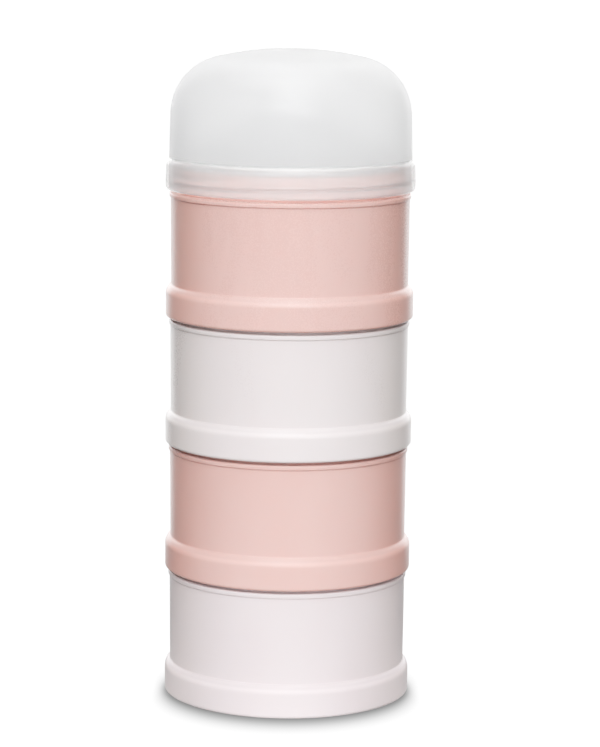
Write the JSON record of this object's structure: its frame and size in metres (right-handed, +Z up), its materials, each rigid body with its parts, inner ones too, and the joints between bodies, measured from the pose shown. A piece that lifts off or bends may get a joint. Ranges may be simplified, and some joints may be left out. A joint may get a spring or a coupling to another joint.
{
  "type": "formula dispenser",
  "caption": "Round stack of screw-together powder cups in alternating pink and white under a frosted dome lid that covers a lift-out pouring funnel.",
  "frame": {"origin": "centre of the bottom ring the stack stands on, on the axis of the stack", "axes": "+Z up along the axis of the stack, towards the dome; +X and +Y are any two directions across it, -Y towards the viewer"},
  "size_m": [0.0804, 0.0804, 0.2098],
  "materials": {
    "pink_plastic": "satin moulded polypropylene",
    "white_plastic": "satin moulded polypropylene",
    "frosted_plastic": "frosted translucent polypropylene",
    "funnel_plastic": "satin natural polypropylene",
    "silicone": "soft translucent silicone"
  },
  "bodies": {
    "base": {"cup_1": "white_plastic", "cup_1_seal": "silicone"},
    "cup_2_ring": {"cup_2_seal": "silicone"},
    "cup_2": {"cup_2": "pink_plastic"},
    "cup_3_ring": {"cup_3_seal": "silicone"},
    "cup_3": {"cup_3": "white_plastic"},
    "cup_4_ring": {"cup_4_seal": "silicone"},
    "cup_4": {"cup_4": "pink_plastic"},
    "dome_ring": {"dome_seal": "silicone"},
    "dome": {"dome_lid": "frosted_plastic"},
    "funnel": {"pour_funnel": "funnel_plastic"}
  },
  "joints": [
    {"name": "cup_2_lift", "type": "slide", "parent": "base", "child": "cup_2_ring", "axis": [0, 0, 1], "range_m": [0, 0.009]},
    {"name": "cup_2_turn", "type": "hinge", "parent": "cup_2_ring", "child": "cup_2", "pos_m": [0, 0, 0.0412], "axis": [0, 0, 1], "range_deg": [0, 1080]},
    {"name": "cup_3_lift", "type": "slide", "parent": "cup_2", "child": "cup_3_ring", "axis": [0, 0, 1], "range_m": [0, 0.009]},
    {"name": "cup_3_turn", "type": "hinge", "parent": "cup_3_ring", "child": "cup_3", "pos_m": [0, 0, 0.0824], "axis": [0, 0, 1], "range_deg": [0, 1080]},
    {"name": "cup_4_lift", "type": "slide", "parent": "cup_3", "child": "cup_4_ring", "axis": [0, 0, 1], "range_m": [0, 0.009]},
    {"name": "cup_4_turn", "type": "hinge", "parent": "cup_4_ring", "child": "cup_4", "pos_m": [0, 0, 0.1236], "axis": [0, 0, 1], "range_deg": [0, 1080]},
    {"name": "dome_lift", "type": "slide", "parent": "cup_4", "child": "dome_ring", "axis": [0, 0, 1], "range_m": [0, 0.009]},
    {"name": "dome_turn", "type": "hinge", "parent": "dome_ring", "child": "dome", "pos_m": [0, 0, 0.1648], "axis": [0, 0, 1], "range_deg": [0, 1080]},
    {"name": "funnel_lift", "type": "slide", "parent": "cup_4", "child": "funnel", "axis": [0, 0, 1], "range_m": [0, 0.005]}
  ],
  "couplings": [
    {"joint": "cup_2_lift", "follows": "cup_2_turn", "m_per_rad": 0.00047746},
    {"joint": "cup_3_lift", "follows": "cup_3_turn", "m_per_rad": 0.00047746},
    {"joint": "cup_4_lift", "follows": "cup_4_turn", "m_per_rad": 0.00047746},
    {"joint": "dome_lift", "follows": "dome_turn", "m_per_rad": 0.00047746},
    {"joint": "funnel_lift", "follows": "dome_turn", "m_per_rad": 0.00026526}
  ]
}
